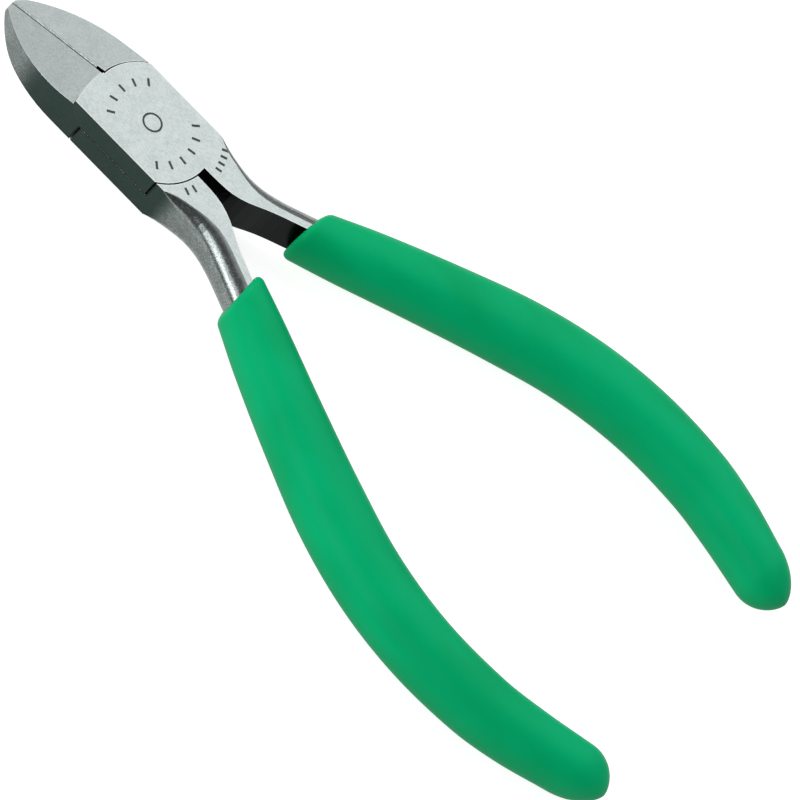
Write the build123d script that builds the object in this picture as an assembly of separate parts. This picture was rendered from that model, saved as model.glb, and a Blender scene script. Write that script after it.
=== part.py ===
from build123d import *
import os
from math import cos, radians, sin, sqrt

# Mini side-cutting nippers with a riveted lap joint and two dip-moulded grips.
# Frame: +Y towards the jaw tips, +X to the right with the front face up, +Z out of the front
# face. The origin is on the pivot axis, at the back face of the joint. Millimetres.

# Driving dimensions
HEAD_WIDTH = 11.7
THICKNESS = 5.5
TIP_Y = 20.8
GRIP_END_Y = -89.2
LAP_RADIUS = 7.75
RIM_Y = -20.75

# Fits between the two halves
LAP_EDGE_GAP = 0.16
LAP_FACE_GAP = 0.05
SEAM_GAP = 0.06
RIVET_CLEARANCE = 0.05

# Jaws
JAW_ARC_START_Y = 8.5
JAW_ARC_RADIUS = 17.8
TIP_CORNER_RADIUS = 0.7
SLOPE_START_Y = 8.1
SLOPE_TO_TIP = 0.215
SLOPE_TO_SIDE = 0.12
STEP_OUTER_DROP = 0.75
STEP_SEAM_DROP = 0.1
STEP_BEND_X = -2.6
BACK_ARC_START_Y = 15.0
BACK_ARC_RADIUS = 10.0
EDGE_BEVEL_ANGLE = 35.0
EDGE_BEVEL_DROP = 0.15
EDGE_LAND = 0.35
RELIEF_ANGLE = 30.0
RELIEF_START_Y = 9.6
NOTCH_START_Y = LAP_RADIUS + LAP_EDGE_GAP
NOTCH_WIDTH = 0.5
NOTCH_LENGTH = 0.95

# Pivot rivet
RIVET_RADIUS = 2.0
RIVET_HEAD_RADIUS = 2.9
RIVET_HEAD_DEPTH = 0.9

# Tangs
SLOT_HALF_WIDTH = 0.75
TANG_START_Y = -6.6
CREASE_SLOPE = 0.24
NECK_STEPS = 2
BEZIER_QUARTER = 0.5523
BAR_START_Y = -22.5
BAR_CHAMFER = 0.9

MID_Z = THICKNESS / 2
HALF_WIDTH = HEAD_WIDTH / 2
REACH = 60.0
CUT_MARGIN = 1.0

# Neck stations: y, inner x, outer x, corner width, corner height, half thickness
NECK_STATIONS = (
    (TANG_START_Y, SLOT_HALF_WIDTH, HALF_WIDTH, 0.10, 0.10, MID_Z),
    (-8.0, SLOT_HALF_WIDTH, 5.70, 0.75, 0.80, MID_Z),
    (-10.0, 0.80, 5.50, 1.10, 1.50, MID_Z),
    (-12.0, 1.05, 5.50, 1.55, 1.85, 2.70),
    (-14.0, 1.85, 5.90, 2.00, 2.10, 2.65),
    (-16.0, 3.10, 6.70, 2.30, 2.30, 2.58),
    (-18.0, 4.20, 7.65, 2.40, 2.38, 2.52),
    (BAR_START_Y, 6.35, 9.85, 2.50, 2.40, 2.50),
)

# Stations of the bar inside the grip: y, inner x, outer x, half thickness
BAR_STATIONS = (
    (BAR_START_Y, 6.35, 9.85, 2.50),
    (-33.0, 10.90, 15.20, 2.50),
    (-45.0, 16.00, 21.20, 2.50),
    (-54.0, 19.10, 24.30, 2.50),
    (-62.0, 20.70, 25.60, 2.50),
    (-70.0, 21.00, 25.60, 2.40),
    (-78.0, 19.80, 24.00, 2.30),
    (-86.0, 18.20, 20.60, 1.60),
)

# Grip stations: y, centre x, width, thickness
GRIP_STATIONS = (
    (-27.0, 10.00, 8.20, 7.60),
    (-36.0, 14.50, 9.00, 7.90),
    (-45.0, 18.65, 9.50, 8.00),
    (-52.0, 21.15, 9.20, 8.00),
    (-58.0, 22.60, 8.80, 8.00),
    (-63.5, 23.25, 8.50, 8.00),
    (-69.0, 23.30, 8.35, 7.90),
    (-75.0, 22.60, 8.10, 7.80),
    (-80.0, 21.20, 7.90, 7.60),
    (-84.0, 19.95, 7.30, 7.00),
    (-86.6, 19.45, 5.60, 5.40),
    (-88.3, 19.30, 3.40, 3.30),
)
RIM_CENTRE_X = 6.95
RIM_WIDTH = 7.2
RIM_THICKNESS = 7.2
RIM_TILT = 4.0
RIM_ROUND = 0.85
RIM_STEPS = 3
GRIP_OUTER_FULLNESS = 0.73
GRIP_INNER_FULLNESS = 0.77


def head_plan():
    """Outline of the closed head, seen from the front."""
    arc_centre_x = HALF_WIDTH - JAW_ARC_RADIUS
    tip_x = arc_centre_x + sqrt(JAW_ARC_RADIUS**2 - (TIP_Y - JAW_ARC_START_Y) ** 2)
    bend_y = (JAW_ARC_START_Y + TIP_Y) / 2
    bend_x = arc_centre_x + sqrt(JAW_ARC_RADIUS**2 - (bend_y - JAW_ARC_START_Y) ** 2)
    side = Line((HALF_WIDTH, TANG_START_Y), (HALF_WIDTH, JAW_ARC_START_Y))
    flank = ThreePointArc((HALF_WIDTH, JAW_ARC_START_Y), (bend_x, bend_y), (tip_x, TIP_Y))
    top = Line((tip_x, TIP_Y), (0, TIP_Y))
    bottom = Line((0, TANG_START_Y), (HALF_WIDTH, TANG_START_Y))
    centre = Line((0, TIP_Y), (0, TANG_START_Y))
    right = make_face([side, flank, top, centre, bottom])
    corner = right.vertices().group_by(Axis.Y)[-1].sort_by(Axis.X)[-1]
    right = fillet(corner, TIP_CORNER_RADIUS)
    return right + mirror(right, Plane.YZ)


def neck_section(y, inner, outer, corner_width, corner_height, half_thickness):
    """Flat inner wall, front and back ground with the head, and a side with rolled corners."""
    plane = Plane(origin=(0, y, MID_Z), x_dir=(1, 0, 0), z_dir=(0, -1, 0))
    half_thickness = min(half_thickness, MID_Z)
    start = outer - corner_width
    pull = corner_width * BEZIER_QUARTER
    crease_z = half_thickness - pull * CREASE_SLOPE
    side_z = half_thickness - corner_height
    pull_z = side_z + corner_height * BEZIER_QUARTER
    front_corner = [(start, half_thickness), (start + pull, crease_z), (outer, pull_z), (outer, side_z)]
    back_corner = [(x, -z) for x, z in front_corner]
    outline = [
        Line((inner, -half_thickness), (inner, half_thickness)),
        Line((inner, half_thickness), front_corner[0]),
        Bezier(*front_corner),
        Line(front_corner[-1], back_corner[-1]),
        Bezier(*reversed(back_corner)),
        Line(back_corner[0], (inner, -half_thickness)),
    ]
    return plane * make_face(outline)


def bar_section(y, inner, outer, half_thickness):
    """Flat bar with chamfered corners."""
    plane = Plane(origin=((inner + outer) / 2, y, MID_Z), x_dir=(1, 0, 0), z_dir=(0, -1, 0))
    bar = Rectangle(outer - inner, 2 * half_thickness)
    return plane * chamfer(bar.vertices(), BAR_CHAMFER)


def eased(stations, steps):
    """Stations with more between them, on a cubic curve through the given ones."""
    padded = (stations[0], *stations, stations[-1])
    finer = []
    for around in zip(padded, padded[1:], padded[2:], padded[3:]):
        for step in range(steps):
            t = step / steps
            weights = (
                -t / 2 + t**2 - t**3 / 2,
                1 - 5 * t**2 / 2 + 3 * t**3 / 2,
                t / 2 + 2 * t**2 - 3 * t**3 / 2,
                -(t**2) / 2 + t**3 / 2,
            )
            columns = zip(*around)
            finer.append(tuple(sum(w * value for w, value in zip(weights, c)) for c in columns))
    return (*finer, stations[-1])


def tang():
    """Handle forging of one half, on the +X side, from the head to inside the grip."""
    neck = loft([neck_section(*station) for station in eased(NECK_STATIONS, NECK_STEPS)], ruled=True)
    bar = loft([bar_section(*station) for station in BAR_STATIONS], ruled=True)
    return neck + bar


def half_blank():
    """One half before the jaw is ground: jaw on -X, upper lap, tang on +X."""
    own_jaw = Location((-REACH / 2 - SEAM_GAP / 2, REACH / 2)) * Rectangle(REACH, REACH)
    own_tang = Location((REACH / 2 + SLOT_HALF_WIDTH, -REACH / 2)) * Rectangle(REACH, REACH)
    lap = Circle(LAP_RADIUS) & Rectangle(HEAD_WIDTH, REACH)
    plan = (head_plan() & (own_jaw + own_tang)) + lap
    body = extrude(plan, THICKNESS) + tang()
    lap_face_z = MID_Z + LAP_FACE_GAP / 2
    lap_room = Cylinder(LAP_RADIUS + LAP_EDGE_GAP, lap_face_z + CUT_MARGIN)
    lap_place = Location((0, 0, (lap_face_z - CUT_MARGIN) / 2))
    return body - lap_place * lap_room


def slope_cutter(side):
    """Everything above the ground front face of the jaw on the given side, -1 or 1."""
    normal = (side * SLOPE_TO_SIDE, SLOPE_TO_TIP, 1)
    across = (1, 0, -side * SLOPE_TO_SIDE)
    plane = Plane(origin=(0, SLOPE_START_Y, THICKNESS), x_dir=across, z_dir=normal)
    return plane * (Location((0, 0, REACH / 2)) * Box(REACH, REACH, REACH))


def boss_step_plan():
    """Plan of the front half's jaw beyond the step where the joint's flat face ends."""
    outer_x = -HALF_WIDTH - CUT_MARGIN
    outer_y = SLOPE_START_Y - STEP_OUTER_DROP
    seam_y = SLOPE_START_Y - STEP_SEAM_DROP
    top_y = TIP_Y + CUT_MARGIN
    step = ThreePointArc((outer_x, outer_y), (STEP_BEND_X, SLOPE_START_Y), (CUT_MARGIN, seam_y))
    left = Line((outer_x, top_y), (outer_x, outer_y))
    right = Line((CUT_MARGIN, seam_y), (CUT_MARGIN, top_y))
    top = Line((CUT_MARGIN, top_y), (outer_x, top_y))
    return make_face([left, step, right, top])


def back_nose_cutter():
    """Rounds the back faces of both jaws up to the tip."""
    depth = TIP_Y + CUT_MARGIN - BACK_ARC_START_Y
    height = BACK_ARC_RADIUS + CUT_MARGIN
    block = Location((0, BACK_ARC_START_Y + depth / 2, BACK_ARC_RADIUS - height / 2))
    round_form = Location((0, BACK_ARC_START_Y, BACK_ARC_RADIUS), (0, 90, 0))
    return block * Box(REACH, depth, height) - round_form * Cylinder(BACK_ARC_RADIUS, REACH)


def seam_point(y, drop):
    """Point on the seam at a distance along the tool, below the ground front face by a drop."""
    return Vector(0, y, THICKNESS - SLOPE_TO_TIP * (y - SLOPE_START_Y) - drop)


def edge_cutter(side, start_y, drop, normal_x, normal_z):
    """Half-space beyond a plane that runs parallel to the cutting edge, from start_y to the tip."""
    along = (0, 1, -SLOPE_TO_TIP)
    normal = (-side * normal_x, SLOPE_TO_TIP * normal_z, normal_z)
    origin = seam_point(start_y, drop) + Vector(side * SEAM_GAP / 2, 0, 0)
    plane = Plane(origin=origin, x_dir=along, z_dir=normal)
    return plane * (Location((REACH / 2, 0, REACH / 2)) * Box(REACH, REACH, REACH))


def edge_bevel_cutter(side):
    """Narrow bevel along the front of a cutting edge."""
    angle = radians(EDGE_BEVEL_ANGLE)
    start_y = NOTCH_START_Y + NOTCH_LENGTH / 2
    return edge_cutter(side, start_y, EDGE_BEVEL_DROP, sin(angle), cos(angle))


def relief_cutter(side):
    """Deep relief behind a cutting edge, open to the back of the jaws."""
    angle = radians(RELIEF_ANGLE)
    drop = EDGE_BEVEL_DROP + EDGE_LAND
    return edge_cutter(side, RELIEF_START_Y, drop, cos(angle), -sin(angle))


def notch_cutter():
    """Small slot through both jaws where the cutting edges end, next to the joint."""
    place = Location((0, NOTCH_START_Y + NOTCH_LENGTH / 2, MID_Z))
    return place * Box(NOTCH_WIDTH, NOTCH_LENGTH, REACH)


def ground_jaw(blank, side):
    """Grinds one jaw: sloped front, rounded back nose, bevelled cutting edge and relief."""
    if side < 0:
        jaw_zone = extrude(boss_step_plan(), REACH)
    else:
        jaw_zone = Location((REACH / 2, REACH / 2, MID_Z + REACH / 2)) * Box(REACH, REACH, REACH)
    slope = slope_cutter(side) & jaw_zone
    jaw = blank - slope - back_nose_cutter() - notch_cutter()
    return jaw - edge_bevel_cutter(side) - relief_cutter(side)


def rivet_form(clearance):
    """Solid of revolution of the rivet, grown by a running clearance."""
    head = RIVET_HEAD_RADIUS + clearance
    shank = RIVET_RADIUS + clearance
    profile = Polyline(
        (0, 0),
        (head, 0),
        (shank, RIVET_HEAD_DEPTH),
        (shank, THICKNESS - RIVET_HEAD_DEPTH),
        (head, THICKNESS),
        (0, THICKNESS),
        close=True,
    )
    return revolve(Plane.XZ * make_face(profile), Axis.Z)


def grip_section(plane, centre_x, width, thickness):
    """Soft-cornered oval, flatter on the side that faces the other handle."""
    half_width = width / 2
    half_thickness = thickness / 2
    outer_x = centre_x + half_width * GRIP_OUTER_FULLNESS
    inner_x = centre_x - half_width * GRIP_INNER_FULLNESS
    outer_z = half_thickness * GRIP_OUTER_FULLNESS
    inner_z = half_thickness * GRIP_INNER_FULLNESS
    outline = Spline(
        (centre_x + half_width, 0),
        (outer_x, outer_z),
        (centre_x, half_thickness),
        (inner_x, inner_z),
        (centre_x - half_width, 0),
        (inner_x, -inner_z),
        (centre_x, -half_thickness),
        (outer_x, -outer_z),
        periodic=True,
    )
    return plane * make_face(outline)


def rim_sections():
    """Rounded end of the grip where the tang enters, as steps round a quarter circle."""
    tilt = radians(RIM_TILT)
    across = Vector(cos(tilt), -sin(tilt), 0)
    along = Vector(-sin(tilt), -cos(tilt), 0)
    sections = []
    for step in range(RIM_STEPS + 1):
        angle = radians(90 * step / RIM_STEPS)
        inset = RIM_ROUND * (1 - sin(angle))
        depth = RIM_ROUND * (1 - cos(angle))
        origin = Vector(RIM_CENTRE_X, RIM_Y, MID_Z) + along * depth
        plane = Plane(origin=origin, x_dir=across, z_dir=along)
        sections.append(grip_section(plane, 0, RIM_WIDTH - 2 * inset, RIM_THICKNESS - 2 * inset))
    return sections


def grip():
    """Dip-moulded sleeve of the +X handle, with the tang's own form as its cavity."""
    sections = rim_sections()
    for y, centre_x, width, thickness in GRIP_STATIONS:
        plane = Plane(origin=(0, y, MID_Z), x_dir=(1, 0, 0), z_dir=(0, -1, 0))
        sections.append(grip_section(plane, centre_x, width, thickness))
    sections.append(Vertex(GRIP_STATIONS[-1][1], GRIP_END_Y, MID_Z))
    return loft(sections, ruled=True) - tang()


if __name__ == "__main__":
    os.makedirs("parts", exist_ok=True)
    blank = half_blank()
    flip = Location((0, 0, THICKNESS), (0, 180, 0))
    front_half = ground_jaw(blank, -1) - rivet_form(0)
    back_half = ground_jaw(flip * blank, 1) - rivet_form(RIVET_CLEARANCE)
    right_grip = grip()
    left_grip = flip * right_grip
    nodes = {
        "front_half": front_half,
        "back_half": back_half,
        "pivot_rivet": rivet_form(0),
        "right_grip": right_grip,
        "left_grip": left_grip,
    }
    for name, solid in nodes.items():
        print(name, round(solid.volume, 1), len(solid.solids()), solid.bounding_box())
        export_step(solid, f"parts/{name}.step")
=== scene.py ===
"""Looks of a pair of mini side-cutting nippers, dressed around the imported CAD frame.

Lengths are millimetres unless a docstring says metres, in the frame of the CAD part: +Y
towards the jaw tips, +X to the right with the front face up, +Z out of the front face, origin
on the pivot at the back face. MM turns them into the metres that the frame and meshes use.
"""

import logging
import math
from dataclasses import dataclass, field
from enum import Enum

import bmesh
import bpy
from mathutils import Matrix, Vector


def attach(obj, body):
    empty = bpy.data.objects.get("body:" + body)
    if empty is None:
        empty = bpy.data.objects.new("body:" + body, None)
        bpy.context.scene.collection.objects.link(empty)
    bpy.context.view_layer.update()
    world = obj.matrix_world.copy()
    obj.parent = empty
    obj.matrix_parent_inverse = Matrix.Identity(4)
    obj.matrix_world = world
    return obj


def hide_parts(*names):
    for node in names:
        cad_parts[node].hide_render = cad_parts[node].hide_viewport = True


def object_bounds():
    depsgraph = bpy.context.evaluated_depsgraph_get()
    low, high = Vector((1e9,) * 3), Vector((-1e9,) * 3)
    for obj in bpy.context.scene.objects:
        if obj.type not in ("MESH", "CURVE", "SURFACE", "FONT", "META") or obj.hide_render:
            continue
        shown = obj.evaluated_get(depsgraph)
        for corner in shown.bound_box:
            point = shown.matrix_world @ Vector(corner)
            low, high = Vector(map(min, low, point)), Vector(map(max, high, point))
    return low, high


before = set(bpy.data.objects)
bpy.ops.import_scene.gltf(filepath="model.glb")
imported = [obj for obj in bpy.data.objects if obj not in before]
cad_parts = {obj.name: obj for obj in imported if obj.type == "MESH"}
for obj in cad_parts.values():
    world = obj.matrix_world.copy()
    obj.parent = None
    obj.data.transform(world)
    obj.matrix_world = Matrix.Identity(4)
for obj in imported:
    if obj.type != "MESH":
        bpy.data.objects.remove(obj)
CAD_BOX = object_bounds()
MM = 0.001
TO_MM = 1000.0
NOISE_ROUGHNESS = 0.55
BEVEL_SAMPLES = 8
EDGE_BEND = (0.015, 0.16)
UP = (0.90, 0.98)
STEEP = (0.72, 0.97)
SIDEWAYS = (0.0, 0.4)
WHITE = (1.0, 1.0, 1.0, 1.0)

Colour = tuple[float, float, float]
Pair = tuple[float, float]

log = logging.getLogger("nippers")


class Side(Enum):
    """The two handles, by the sign of their X."""

    LEFT = -1
    RIGHT = 1


class Amount:
    """A number that varies over a surface: a shader socket with arithmetic."""

    def __init__(self, bench: "Bench", socket: bpy.types.NodeSocket) -> None:
        """Wraps a socket.

        Args:
            bench: The material the socket belongs to.
            socket: The output socket to wrap.
        """
        self.bench = bench
        self.socket = socket

    def _with(self, operation: str, *operands: object) -> "Amount":
        """Adds one Math node.

        Args:
            operation: The Math node's operation.
            operands: Its inputs in order, amounts or numbers.

        Returns:
            The node's result.
        """
        node = self.bench.add("ShaderNodeMath", {"operation": operation}, dict(enumerate(operands)))
        return Amount(self.bench, node.outputs[0])

    def __add__(self, other: object) -> "Amount":
        """Sum."""
        return self._with("ADD", self, other)

    def __radd__(self, other: object) -> "Amount":
        """Sum, reflected."""
        return self._with("ADD", other, self)

    def __sub__(self, other: object) -> "Amount":
        """Difference."""
        return self._with("SUBTRACT", self, other)

    def __rsub__(self, other: object) -> "Amount":
        """Difference, reflected."""
        return self._with("SUBTRACT", other, self)

    def __mul__(self, other: object) -> "Amount":
        """Product."""
        return self._with("MULTIPLY", self, other)

    def __rmul__(self, other: object) -> "Amount":
        """Product, reflected."""
        return self._with("MULTIPLY", other, self)

    def __neg__(self) -> "Amount":
        """Opposite."""
        return self._with("MULTIPLY", self, -1.0)

    def __abs__(self) -> "Amount":
        """Absolute value."""
        return self._with("ABSOLUTE", self)

    def __mod__(self, other: object) -> "Amount":
        """Remainder, from 0 up to the divisor."""
        return self._with("FLOORED_MODULO", self, other)

    def __rmod__(self, other: object) -> "Amount":
        """Remainder, reflected."""
        return self._with("FLOORED_MODULO", other, self)

    def root(self) -> "Amount":
        """Square root."""
        return self._with("SQRT", self)

    def angle_from(self, x: "Amount") -> "Amount":
        """Angle of the point with this height over x, in radians."""
        return self._with("ARCTAN2", self, x)

    def ramp(self, low: float, high: float) -> "Amount":
        """Smooth step.

        Args:
            low: The value that gives 0.
            high: The value that gives 1.

        Returns:
            A smooth rise from 0 to 1.
        """
        settings = {"interpolation_type": "SMOOTHSTEP", "clamp": True}
        inputs = {"Value": self, "From Min": low, "From Max": high}
        return Amount(self.bench, self.bench.add("ShaderNodeMapRange", settings, inputs).outputs[0])

    def window(self, low: float, high: float, blur: float) -> "Amount":
        """Soft band.

        Args:
            low: Where the band starts.
            high: Where it ends.
            blur: How far each end fades.

        Returns:
            1 between low and high, and 0 beyond the fades.
        """
        return self.ramp(low - blur, low) * (1 - self.ramp(high, high + blur))


@dataclass(frozen=True)
class Grain:
    """Pattern of a noise: patches per millimetre along each axis, finer layers, and seed."""

    spread: tuple[float, float, float]
    detail: float
    seed: float


@dataclass(frozen=True)
class Axes:
    """The three parts of a vector that varies over a surface."""

    x: Amount
    y: Amount
    z: Amount


class Bench:
    """A material under construction: its node tree and the ways to add to it."""

    def __init__(self, name: str) -> None:
        """Makes an empty node material.

        Args:
            name: The material's name.
        """
        self.material = bpy.data.materials.new(name)
        self.material.use_nodes = True
        self.tree = self.material.node_tree
        self.tree.nodes.clear()

    def add(self, kind: str, settings: dict, inputs: dict) -> bpy.types.Node:
        """Adds a node, with its settings first and its socket values or links after them.

        Args:
            kind: The node's type.
            settings: Attribute names and values.
            inputs: Socket names or numbers, and what goes into each.

        Returns:
            The node.
        """
        node = self.tree.nodes.new(kind)
        for attribute, value in settings.items():
            setattr(node, attribute, value)
        for key, value in inputs.items():
            self.feed(node.inputs[key], value)
        return node

    def feed(self, target: bpy.types.NodeSocket, value: object) -> None:
        """Links an amount or a socket into an input, or sets a constant on it.

        Args:
            target: The input socket.
            value: What goes into it.
        """
        if isinstance(value, Amount):
            value = value.socket
        if isinstance(value, bpy.types.NodeSocket):
            self.tree.links.new(value, target)
        else:
            target.default_value = value

    def split(self, vector: bpy.types.NodeSocket) -> Axes:
        """Takes a vector apart.

        Args:
            vector: The vector's socket.

        Returns:
            Its three parts.
        """
        parts = self.add("ShaderNodeSeparateXYZ", {}, {0: vector}).outputs
        return Axes(*(Amount(self, part) for part in parts))

    def place(self) -> bpy.types.NodeSocket:
        """Place on the surface.

        Returns:
            The place in the part's frame, in millimetres.
        """
        coordinates = self.add("ShaderNodeTexCoord", {}, {})
        settings = {"operation": "SCALE"}
        inputs = {0: coordinates.outputs["Object"], "Scale": TO_MM}
        scaled = self.add("ShaderNodeVectorMath", settings, inputs)
        return scaled.outputs[0]

    def facing(self) -> Axes:
        """Direction that the surface faces, in the part's frame."""
        return self.split(self.add("ShaderNodeTexCoord", {}, {}).outputs["Normal"])

    def noise(self, grain: Grain) -> Amount:
        """Soft noise over the part.

        Args:
            grain: How coarse, how detailed and where it is.

        Returns:
            The noise, from 0 to 1.
        """
        inputs = {"Vector": self.place(), "Scale": grain.spread, "Location": (grain.seed,) * 3}
        stretched = self.add("ShaderNodeMapping", {}, inputs)
        settings = {"noise_dimensions": "3D"}
        inputs = {
            "Vector": stretched.outputs[0],
            "Scale": 1.0,
            "Detail": grain.detail,
            "Roughness": NOISE_ROUGHNESS,
        }
        return Amount(self, self.add("ShaderNodeTexNoise", settings, inputs).outputs[0])

    def tint(
        self,
        low: Colour | bpy.types.NodeSocket,
        high: Colour | bpy.types.NodeSocket,
        share: Amount,
    ) -> bpy.types.NodeSocket:
        """Blend of two colours.

        Args:
            low: Red, green and blue where the share is 0, or a colour socket.
            high: The same where it is 1.
            share: How much of the second colour shows.

        Returns:
            The blended colour.
        """
        settings = {"data_type": "RGBA", "blend_type": "MIX"}
        node = self.add("ShaderNodeMix", settings, {0: share})
        for number, colour in ((6, low), (7, high)):
            is_plain = isinstance(colour, tuple)
            self.feed(node.inputs[number], (*colour, 1.0) if is_plain else colour)
        return node.outputs[2]

    def broken_edge(self, radius: float) -> bpy.types.NodeSocket:
        """Direction of the surface with its sharp edges rounded off.

        Args:
            radius: Radius of the rounding, in millimetres.

        Returns:
            The rounded direction.
        """
        settings = {"samples": BEVEL_SAMPLES}
        return self.add("ShaderNodeBevel", settings, {"Radius": radius * MM}).outputs[0]

    def edge_band(self, width: float) -> Amount:
        """Where a sharp edge is near.

        Args:
            width: Width of the band beside the edge, in millimetres.

        Returns:
            About 1 at a sharp edge and 0 beyond the band.
        """
        true_normal = self.add("ShaderNodeNewGeometry", {}, {}).outputs["True Normal"]
        inputs = {0: self.broken_edge(width), 1: true_normal}
        node = self.add("ShaderNodeVectorMath", {"operation": "DOT_PRODUCT"}, inputs)
        return (1 - Amount(self, node.outputs["Value"])).ramp(*EDGE_BEND)

    def relief(
        self, height: Amount, depth: float, normal: bpy.types.NodeSocket | None = None
    ) -> bpy.types.NodeSocket:
        """Small relief on the surface.

        Args:
            height: Where the surface stands high.
            depth: How high, in millimetres, per unit of the height.
            normal: Direction of the surface under the relief, if it isn't the mesh's own.

        Returns:
            The surface's new direction.
        """
        inputs = {"Height": height, "Distance": depth * MM, "Strength": 1.0}
        if normal is not None:
            inputs["Normal"] = normal
        return self.add("ShaderNodeBump", {}, inputs).outputs[0]

    def finish(self, inputs: dict) -> bpy.types.Material:
        """Puts the surface shader on and hands over the material.

        Args:
            inputs: The Principled shader's sockets and what goes into each.

        Returns:
            The material.
        """
        shader = self.add("ShaderNodeBsdfPrincipled", {}, inputs)
        self.add("ShaderNodeOutputMaterial", {}, {"Surface": shader.outputs[0]})
        return self.material


@dataclass(frozen=True)
class StampArc:
    """A row of short punched dashes on an arc about the pivot, with its angles in degrees."""

    radius: float
    start: float
    end: float
    pitch: float
    length: float = 1.0
    half_width: float = 0.13
    blur: float = 0.05
    end_blur: float = 0.01

    def mask(self, bench: Bench) -> Amount:
        """Where the dashes are.

        Args:
            bench: The material they are punched in.

        Returns:
            1 inside a dash and 0 elsewhere.
        """
        place = bench.split(bench.place())
        distance = (place.x * place.x + place.y * place.y).root()
        angle = place.y.angle_from(place.x)
        across = abs(distance - self.radius)
        turn = math.radians(self.pitch)
        offset = abs((angle - math.radians(self.start)) % turn - turn / 2) * distance
        row = angle.window(math.radians(self.start), math.radians(self.end), self.end_blur)
        in_length = 1 - across.ramp(self.length / 2 - self.blur, self.length / 2 + self.blur)
        in_width = 1 - offset.ramp(self.half_width - self.blur, self.half_width + self.blur)
        return row * in_length * in_width


@dataclass(frozen=True)
class GroundSteel:
    """Tool steel: satin ground faces, painted dark reflection on the flanks, fine grinding lines.

    The limits say where one look gives way to another, in millimetres along Y or as parts of
    the direction that the surface faces.
    """

    name: str
    bright: Colour = (0.338, 0.372, 0.367)
    worn: Colour = (0.272, 0.306, 0.301)
    rolled: Colour = (0.145, 0.164, 0.159)
    # painted dark reflection: the colour of the steep outer flanks
    painted_dark: Colour = (0.010, 0.027, 0.020)
    # black: painted shade between the tangs and painted dark reflection along the flanks' top edges
    black: Colour = (0.002, 0.004, 0.003)
    # worn edges and painted highlight: the light line along the edges of the ground faces
    rubbed_and_highlight: Colour = (0.480, 0.510, 0.505)
    stamp: Colour = (0.014, 0.022, 0.019)
    roughness: float = 0.26
    edge: float = 0.05
    edge_width: float = 0.40
    stamps: tuple[StampArc, ...] = ()
    grind: Grain = Grain((12.0, 1.6, 12.0), 3.0, 3.1)
    cloud: Grain = Grain((0.5, 0.5, 0.5), 5.0, 8.2)
    speck: Grain = Grain((5.0, 5.0, 5.0), 3.0, 5.7)
    # limits of the painted dark reflection: where it lifts on the tangs' outer sides, where it
    # stays on their undersides as painted shade, and where painted light near the tip lifts it
    tang_limits: Pair = (6.8, 10.0)
    tang_underside: Pair = (-0.55, -0.15)
    nose_limits: Pair = (12.0, 16.5)
    nose_underside: Pair = (-0.6, 0.0)
    outer_side: Pair = (-0.2, 0.2)
    crotch_limits: Pair = (3.0, 5.0)
    wear_limits: Pair = (0.44, 0.58)
    relief_depth: float = 0.006
    stamp_depth: float = 8.0

    def painted_dark_masks(self, facing: Axes, place: Axes) -> tuple[Amount, Amount]:
        """Where painted dark reflection and painted shade go on the steel.

        Args:
            facing: Direction that the surface faces.
            place: Place on the surface, in millimetres.

        Returns:
            Painted dark reflection on the flanks of the head, and painted shade on the walls of the
            tangs that face each other.
        """
        steep = (1 - abs(facing.z)).ramp(*STEEP)
        side = facing.x * place.x
        below = -place.y
        # on the tangs' outer sides the painted dark reflection mostly lifts, but stays on faces
        # turned down as painted shade
        on_tang = below.ramp(*self.tang_limits) * side.ramp(*SIDEWAYS)
        on_tang = on_tang * facing.z.ramp(*self.tang_underside)
        # near the tip the painted dark gives way to painted light, where light from the tip falls
        # on the upward-turned sides
        nose = place.y.ramp(*self.nose_limits) * facing.z.ramp(*self.nose_underside)
        flank = steep * side.ramp(*self.outer_side) * (1 - nose * 0.9) * (1 - on_tang * 0.92)
        # painted shade: the walls of the tangs that face each other, down from the crotch
        inside = steep * (-side).ramp(*SIDEWAYS) * below.ramp(*self.crotch_limits)
        return flank, inside

    def material(self) -> bpy.types.Material:
        """Makes the material.

        Returns:
            The material.
        """
        bench = Bench(self.name)
        facing = bench.facing()
        flank, inside = self.painted_dark_masks(facing, bench.split(bench.place()))
        grind = bench.noise(self.grind)
        cloud = bench.noise(self.cloud)
        speck = bench.noise(self.speck)
        front = facing.z.ramp(*UP)
        satin = front + (-facing.z).ramp(*UP)
        wear = (grind * 0.45 + speck * 0.35 + cloud * 0.2).ramp(*self.wear_limits)
        colour = bench.tint(self.rolled, self.bright, satin)
        colour = bench.tint(colour, self.worn, wear)
        # painted dark reflection on the flanks, speckled a little
        colour = bench.tint(colour, self.painted_dark, flank * (0.86 + 0.14 * speck))
        # painted shade between the tangs
        colour = bench.tint(colour, self.black, inside)
        if self.edge:
            band = bench.edge_band(self.edge_width)
            # worn edges and painted highlight along the ground faces' edges
            colour = bench.tint(colour, self.rubbed_and_highlight, band * satin * (0.35 + 0.4 * speck))
            # painted dark reflection: a dark line along the edges of the flanks
            colour = bench.tint(colour, self.black, band * flank * 0.8)
        rough = self.roughness + satin * 0.06 + (grind - 0.5) * 0.12 + flank * 0.10
        height = (grind * 0.6 + speck * 0.4) * (0.35 + 0.65 * satin)
        for row in self.stamps:
            struck = row.mask(bench) * front
            colour = bench.tint(colour, self.stamp, struck * 0.9)
            height = height - struck * self.stamp_depth
            rough = rough + struck * 0.15
        normal = bench.broken_edge(self.edge) if self.edge else None
        inputs = {
            "Base Color": colour,
            "Metallic": 1.0,
            "Roughness": rough,
            "Normal": bench.relief(height, self.relief_depth, normal),
        }
        return bench.finish(inputs)


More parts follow.
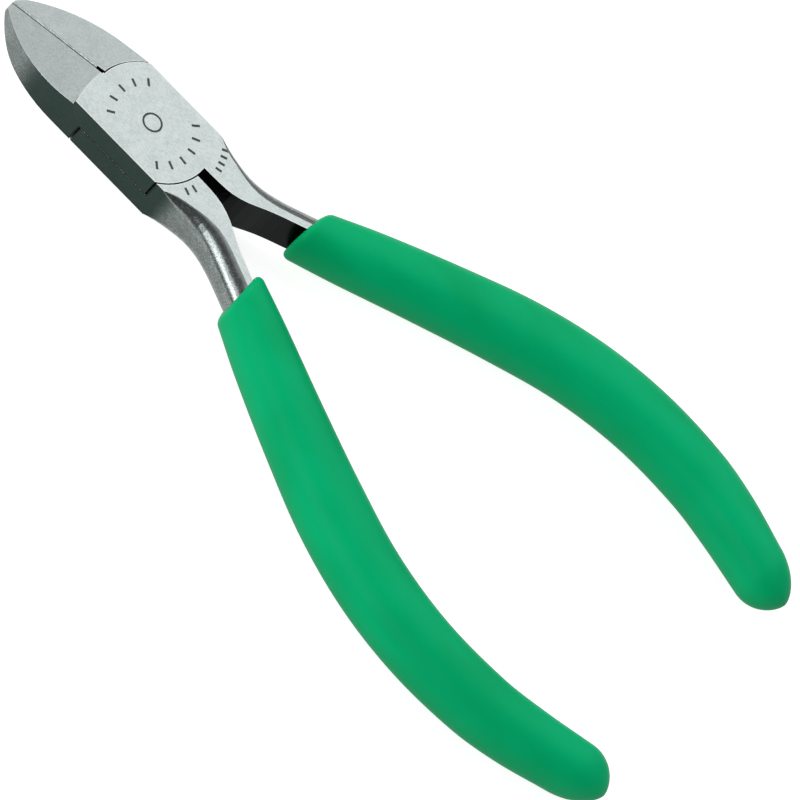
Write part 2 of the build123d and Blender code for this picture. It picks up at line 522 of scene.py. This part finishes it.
@dataclass(frozen=True)
class GripVinyl:
    """Dip-moulded vinyl: saturated green, waxy, with a faint orange-peel skin and scuffs, and
    painted shade on faces turned down.
    """

    name: str
    colour: Colour = (0.0, 0.388, 0.150)
    shade: Colour = (0.0, 0.335, 0.118)
    # painted shade: the colour of faces turned down or away from +Y
    under: Colour = (0.0, 0.215, 0.074)
    scuff: Colour = (0.008, 0.42, 0.18)
    roughness: float = 0.46
    specular: float = 0.04
    cloud: Grain = Grain((0.12, 0.05, 0.12), 2.0, 1.7)
    skin: Grain = Grain((1.6, 1.6, 1.6), 3.0, 4.4)
    scratch: Grain = Grain((0.5, 5.0, 0.5), 2.0, 9.3)
    skin_depth: float = 0.010
    shade_limits: Pair = (0.35, 0.70)
    scuff_limits: Pair = (0.68, 0.80)
    dull_limits: Pair = (0.65, 0.80)
    painted_shade_limits: Pair = (-0.80, 0.62)

    def material(self) -> bpy.types.Material:
        """Makes the material.

        Returns:
            The material.
        """
        bench = Bench(self.name)
        facing = bench.facing()
        cloud = bench.noise(self.cloud)
        skin = bench.noise(self.skin)
        scratch = bench.noise(self.scratch)
        # painted shade: faces turned down, and less so faces turned away from +Y, blend towards the
        # under colour
        lit = (facing.z + facing.y * 0.35).ramp(*self.painted_shade_limits)
        colour = bench.tint(self.colour, self.shade, cloud.ramp(*self.shade_limits))
        colour = bench.tint(colour, self.scuff, scratch.ramp(*self.scuff_limits) * 0.25)
        colour = bench.tint(self.under, colour, lit)
        dull = scratch.ramp(*self.dull_limits) * 0.08
        inputs = {
            "Base Color": colour,
            "Metallic": 0.0,
            "Roughness": self.roughness + (skin - 0.5) * 0.10 + dull,
            "Specular IOR Level": self.specular,
            "Normal": bench.relief(skin, self.skin_depth),
        }
        return bench.finish(inputs)


@dataclass(frozen=True)
class PaleFloor:
    """Matt white light table."""

    name: str = "table_white"
    low: Colour = (0.36, 0.36, 0.36)
    high: Colour = (0.40, 0.40, 0.40)
    roughness: float = 0.9
    glow: float = 0.84
    cloud: Grain = Grain((0.02, 0.02, 0.02), 2.0, 0.0)

    def material(self) -> bpy.types.Material:
        """Makes the material.

        Returns:
            The material.
        """
        bench = Bench(self.name)
        inputs = {
            "Base Color": bench.tint(self.low, self.high, bench.noise(self.cloud)),
            "Roughness": self.roughness,
            "Emission Color": WHITE,
            "Emission Strength": self.glow,
        }
        return bench.finish(inputs)


@dataclass
class Forging:
    """One steel piece of the tool, shown with its packed form."""

    node: str
    finish: GroundSteel

    def build(self) -> bpy.types.Object:
        """Puts the finish on.

        Returns:
            The piece.
        """
        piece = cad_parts[self.node]
        piece.data.materials.clear()
        piece.data.materials.append(self.finish.material())
        log.info("%s: %d vertices", piece.name, len(piece.data.vertices))
        return piece


@dataclass(frozen=True)
class Station:
    """Size of a grip where it crosses a plane of constant Y, for the right handle."""

    y: float
    centre_x: float
    width: float
    thickness: float


def between(places: tuple[float, ...], values: tuple[float, ...], t: float) -> float:
    """Smooth value between the second and the third of four places.

    Args:
        places: The four places along the handle, at uneven steps.
        values: The value at each of them.
        t: Share of the way from the second to the third, from 0 to 1.

    Returns:
        The value on the cubic that leaves and arrives with the slope of the neighbours.
    """
    span = places[2] - places[1]
    leaving = (values[2] - values[0]) / (places[2] - places[0])
    arriving = (values[3] - values[1]) / (places[3] - places[1])
    eased = values[1] + (values[2] - values[1]) * t * t * (3 - 2 * t)
    return eased + span * t * (1 - t) * (leaving * (1 - t) - arriving * t)


@dataclass
class GripSleeve:
    """Dip-moulded sleeve over one tang: rolled rim, long bow and rounded tail.

    Sizes are for the right handle, in millimetres. The rim's tilt is in degrees, and the
    powers say how square a cross-section is: 2 is an ellipse.
    """

    name: str
    side: Side
    replaced: str
    body: str
    finish: GripVinyl
    stations: tuple[Station, ...] = (
        Station(-21.6, 7.07, 7.20, 6.90),
        Station(-27.0, 9.90, 8.20, 7.35),
        Station(-36.0, 14.45, 9.05, 7.60),
        Station(-45.0, 18.62, 9.58, 7.70),
        Station(-54.0, 21.76, 9.06, 7.70),
        Station(-63.0, 23.23, 8.50, 7.70),
        Station(-72.0, 23.04, 8.17, 7.60),
        Station(-78.0, 21.87, 7.88, 7.42),
        Station(-84.0, 20.06, 7.30, 6.95),
    )
    tail_x: float = 19.25
    tail_y: float = -89.2
    tail_power: float = 0.62
    mid_z: float = 2.75
    rim_x: float = 6.68
    rim_y: float = -20.75
    rim_tilt: float = 4.0
    rim_round: float = 0.85
    rim_steps: int = 6
    rim_lean: float = 0.45
    rim_margin: float = 0.2
    mouth_depth: float = 1.5
    mouth_lip: float = 0.12
    mouth_flare: float = 1.03
    mouth_lean: float = 0.48
    mouth_gap: float = 0.04
    mouth_powers: Pair = (2.6, 12.0)
    mouth_reach: float = 0.6
    steps: int = 9
    tail_steps: int = 16
    around: int = 72
    powers: Pair = (2.15, 2.25)
    mesh: bmesh.types.BMesh = field(default_factory=bmesh.new)

    def outline(self, width: float, thickness: float, powers: Pair) -> list[Vector]:
        """Soft-cornered oval in its own plane.

        Args:
            width: Size across, towards the other handle.
            thickness: Size from back to front.
            powers: How square the outer and the inner side are.

        Returns:
            Points round the oval: x outwards, z to the front, in millimetres.
        """
        points = []
        for step in range(self.around):
            turn = 2 * math.pi * step / self.around
            outward = math.cos(turn)
            forward = math.sin(turn)
            power = powers[0] if outward > 0 else powers[1]
            reach = (abs(outward) ** power + abs(forward) ** power) ** (-1 / power)
            points.append(Vector((outward * reach * width / 2, 0, forward * reach * thickness / 2)))
        return points

    def ring(self, origin: Vector, tilt: float, outline: list[Vector]) -> list[bmesh.types.BMVert]:
        """Adds a ring of vertices.

        Args:
            origin: Centre of the ring, in millimetres, for the right handle.
            tilt: Turn of the ring's plane about Z, in radians.
            outline: Points round the ring in its own plane.

        Returns:
            The vertices.
        """
        made = []
        for point in outline:
            x = origin.x + point.x * math.cos(tilt)
            y = origin.y - point.x * math.sin(tilt)
            z = origin.z + point.z * self.side.value
            made.append(self.mesh.verts.new(Vector((x * self.side.value, y, z)) * MM))
        return made

    def rim_rings(self) -> list[list[bmesh.types.BMVert]]:
        """Rings of the mouth round the tang and of the rolled rim.

        Returns:
            The rings, from inside the mouth outwards.
        """
        tilt = math.radians(self.rim_tilt)
        rings = []
        tang_low, tang_high = self.tang_at_rim()
        tang_x = (tang_low.x + tang_high.x) / 2
        mouth = self.outline(
            tang_high.x - tang_low.x + 2 * self.mouth_gap,
            tang_high.z - tang_low.z + 2 * self.mouth_gap,
            self.mouth_powers,
        )
        depths = ((self.mouth_depth, 1.0), (self.mouth_lip, 1.0), (0.0, self.mouth_flare))
        for depth, grow in depths:
            centre = Vector((tang_x + self.mouth_lean * depth, self.rim_y - depth, self.mid_z))
            rings.append(self.ring(centre, tilt, [point * grow for point in mouth]))
        station = self.stations[0]
        for step in range(self.rim_steps + 1):
            angle = math.radians(90 * step / self.rim_steps)
            inset = self.rim_round * (1 - math.sin(angle))
            depth = self.rim_round * (1 - math.cos(angle))
            centre = Vector((self.rim_x + self.rim_lean * depth, self.rim_y - depth, self.mid_z))
            width = station.width - 2 * inset
            outline = self.outline(width, station.thickness - 2 * inset, self.powers)
            share = 1 - depth / (self.rim_y - station.y)
            rings.append(self.ring(centre, tilt * max(share, 0.0), outline))
        return rings

    def tang_at_rim(self) -> tuple[Vector, Vector]:
        """Box of the steel where it enters the sleeve, in millimetres, for the right handle.

        Returns:
            The lowest and the highest corner.
        """
        body = "front_half" if self.side is Side.RIGHT else "back_half"
        places = [vertex.co * TO_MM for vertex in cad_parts[body].data.vertices]
        near = [place for place in places if abs(place.y - self.rim_y) < self.mouth_reach]
        across = [place.x * self.side.value for place in near]
        heights = [place.z for place in near]
        return Vector((min(across), 0, min(heights))), Vector((max(across), 0, max(heights)))

    def body_rings(self) -> list[list[bmesh.types.BMVert]]:
        """Rings of the bow, eased through the stations.

        Returns:
            The rings, from the rim to where the tail starts to round.
        """
        padded = (self.stations[0], *self.stations, self.stations[-1])
        rings = []
        for around in zip(padded, padded[1:], padded[2:], padded[3:]):
            places = tuple(station.y for station in around)
            for step in range(self.steps):
                t = step / self.steps
                y = around[1].y + (around[2].y - around[1].y) * t
                x = between(places, tuple(station.centre_x for station in around), t)
                width = between(places, tuple(station.width for station in around), t)
                thickness = between(places, tuple(station.thickness for station in around), t)
                if y < self.rim_y - self.rim_round - self.rim_margin:
                    outline = self.outline(width, thickness, self.powers)
                    rings.append(self.ring(Vector((x, y, self.mid_z)), 0.0, outline))
        return rings

    def tail_rings(self) -> list[list[bmesh.types.BMVert]]:
        """Rings of the rounded tail.

        Returns:
            The rings, from the last station to just short of the tip.
        """
        last = self.stations[-1]
        rings = []
        for step in range(self.tail_steps):
            share = math.sin(math.pi / 2 * step / self.tail_steps)
            scale = (1 - share * share) ** self.tail_power
            y = last.y + (self.tail_y - last.y) * share
            x = last.centre_x + (self.tail_x - last.centre_x) * (2 - share) * share
            outline = self.outline(last.width * scale, last.thickness * scale, self.powers)
            rings.append(self.ring(Vector((x, y, self.mid_z)), 0.0, outline))
        return rings

    def build(self) -> bpy.types.Object:
        """Makes the sleeve, dresses it and hangs it on its handle.

        Returns:
            The piece.
        """
        rings = self.rim_rings() + self.body_rings() + self.tail_rings()
        for ring, following in zip(rings, rings[1:]):
            for step in range(self.around):
                after = (step + 1) % self.around
                self.mesh.faces.new((ring[step], ring[after], following[after], following[step]))
        tip_place = Vector((self.tail_x * self.side.value, self.tail_y, self.mid_z))
        tip = self.mesh.verts.new(tip_place * MM)
        for step in range(self.around):
            self.mesh.faces.new((rings[-1][step], rings[-1][(step + 1) % self.around], tip))
        bmesh.ops.recalc_face_normals(self.mesh, faces=self.mesh.faces)
        data = bpy.data.meshes.new(self.name)
        self.mesh.to_mesh(data)
        self.mesh.free()
        data.shade_smooth()
        data.materials.append(self.finish.material())
        piece = bpy.data.objects.new(self.name, data)
        bpy.context.scene.collection.objects.link(piece)
        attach(piece, self.body)
        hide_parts(self.replaced)
        log.info("%s: %d vertices", piece.name, len(data.vertices))
        return piece


@dataclass(frozen=True)
class Softbox:
    """A rectangular studio light that faces the tool, with its sizes in metres."""

    name: str
    direction: tuple[float, float, float]
    distance: float
    width: float
    height: float
    radiance: float

    def build(self, target: Vector) -> bpy.types.Object:
        """Hangs the light.

        Args:
            target: What the light faces.

        Returns:
            The light object.
        """
        data = bpy.data.lights.new(self.name, "AREA")
        data.shape = "RECTANGLE"
        data.size = self.width
        data.size_y = self.height
        data.energy = self.radiance * math.pi * self.width * self.height
        light = bpy.data.objects.new(self.name, data)
        bpy.context.scene.collection.objects.link(light)
        away = Vector(self.direction).normalized()
        turn = away.to_track_quat("Z", "Y").to_matrix().to_4x4()
        light.matrix_world = Matrix.Translation(target + away * self.distance) @ turn
        return light


@dataclass
class Studio:
    """Table top, surrounding light and softboxes, with sizes in metres."""

    surround: float = 0.16
    reach: float = 1.5
    softboxes: tuple[Softbox, ...] = (
        Softbox("key_softbox", (0.62, 0.02, 0.78), 0.9, 0.9, 0.95, 1.98),
        Softbox("left_softbox", (-0.70, 0.38, 0.60), 0.9, 0.6, 0.6, 3.5),
        Softbox("glint_strip", (-0.58, 0.62, 0.507), 0.85, 0.10, 0.10, 22.0),
        Softbox("far_fill", (0.25, 0.85, 0.46), 0.9, 0.8, 0.5, 2.2),
        Softbox("near_fill", (0.10, -0.80, 0.59), 0.9, 0.8, 0.5, 0.5),
    )

    def build(self) -> None:
        """Builds the room."""
        low, high = CAD_BOX
        middle = (Vector(low) + Vector(high)) / 2
        data = bpy.data.meshes.new("table_top")
        signs = ((-1, -1), (1, -1), (1, 1), (-1, 1))
        corners = [(sign_x * self.reach, sign_y * self.reach, low[2]) for sign_x, sign_y in signs]
        data.from_pydata(corners, [], [(0, 1, 2, 3)])
        data.materials.append(PaleFloor().material())
        table = bpy.data.objects.new("table_top", data)
        bpy.context.scene.collection.objects.link(table)
        world = bpy.data.worlds.new("studio")
        world.use_nodes = True
        background = world.node_tree.nodes["Background"]
        background.inputs["Color"].default_value = WHITE
        background.inputs["Strength"].default_value = self.surround
        bpy.context.scene.world = world
        bpy.context.scene.view_settings.view_transform = "Standard"
        for softbox in self.softboxes:
            softbox.build(middle)


@dataclass
class Viewpoint:
    """The camera, which looks down on the tool from its left side.

    Lengths are metres. The span is what the frame shows across, at the target.
    """

    tilt: float = math.radians(39.64)
    roll: float = math.radians(0.61)
    span: float = 90.16 * MM
    distance: float = 1.10
    target: tuple[float, float, float] = (-0.27 * MM, -41.78 * MM, 2.75 * MM)
    sensor: float = 36.0
    clip: Pair = (0.01, 10.0)

    def build(self) -> bpy.types.Object:
        """Makes the scene's camera.

        Returns:
            The camera object.
        """
        towards = Vector((-math.sin(self.tilt), 0.0, math.cos(self.tilt)))
        sideways = Vector((math.cos(self.tilt), 0.0, math.sin(self.tilt)))
        tipwards = Vector((0.0, 1.0, 0.0))
        across = sideways * math.cos(self.roll) + tipwards * math.sin(self.roll)
        along = tipwards * math.cos(self.roll) - sideways * math.sin(self.roll)
        right = (across - along).normalized()
        up = (across + along).normalized()
        data = bpy.data.cameras.new("viewpoint")
        data.sensor_width = self.sensor
        data.lens = self.sensor * self.distance / self.span
        data.clip_start, data.clip_end = self.clip
        camera = bpy.data.objects.new("viewpoint", data)
        bpy.context.scene.collection.objects.link(camera)
        turn = Matrix((right, up, towards)).transposed().to_4x4()
        place = Vector(self.target) + towards * self.distance
        camera.matrix_world = Matrix.Translation(place) @ turn
        bpy.context.scene.camera = camera
        return camera


def main() -> None:
    """Builds and dresses everything in order."""
    logging.basicConfig(level=logging.INFO, format="%(message)s")
    centre_ring = StampArc(1.15, start=-180.0, end=180.0, pitch=15.0, length=0.20, half_width=0.20)
    joint_stamps = (
        StampArc(radius=5.2, start=34.0, end=139.0, pitch=21.0),
        StampArc(radius=5.5, start=-145.0, end=-31.0, pitch=19.0),
        centre_ring,
        StampArc(radius=9.2, start=-80.0, end=-56.0, pitch=6.0, length=0.8),
    )
    root_stamps = (StampArc(radius=9.0, start=-116.0, end=-102.0, pitch=7.0, length=0.9),)
    vinyl = GripVinyl("grip_vinyl_green")
    Viewpoint().build()
    Studio().build()
    Forging("front_half", GroundSteel("front_half_steel", stamps=joint_stamps)).build()
    Forging("back_half", GroundSteel("back_half_steel", stamps=root_stamps)).build()
    Forging("pivot_rivet", GroundSteel("rivet_steel", edge=0.0, stamps=(centre_ring,))).build()
    GripSleeve("right_sleeve", Side.RIGHT, "right_grip", "front_body", vinyl).build()
    GripSleeve("left_sleeve", Side.LEFT, "left_grip", "back_body", vinyl).build()


if __name__ == "__main__":
    main()
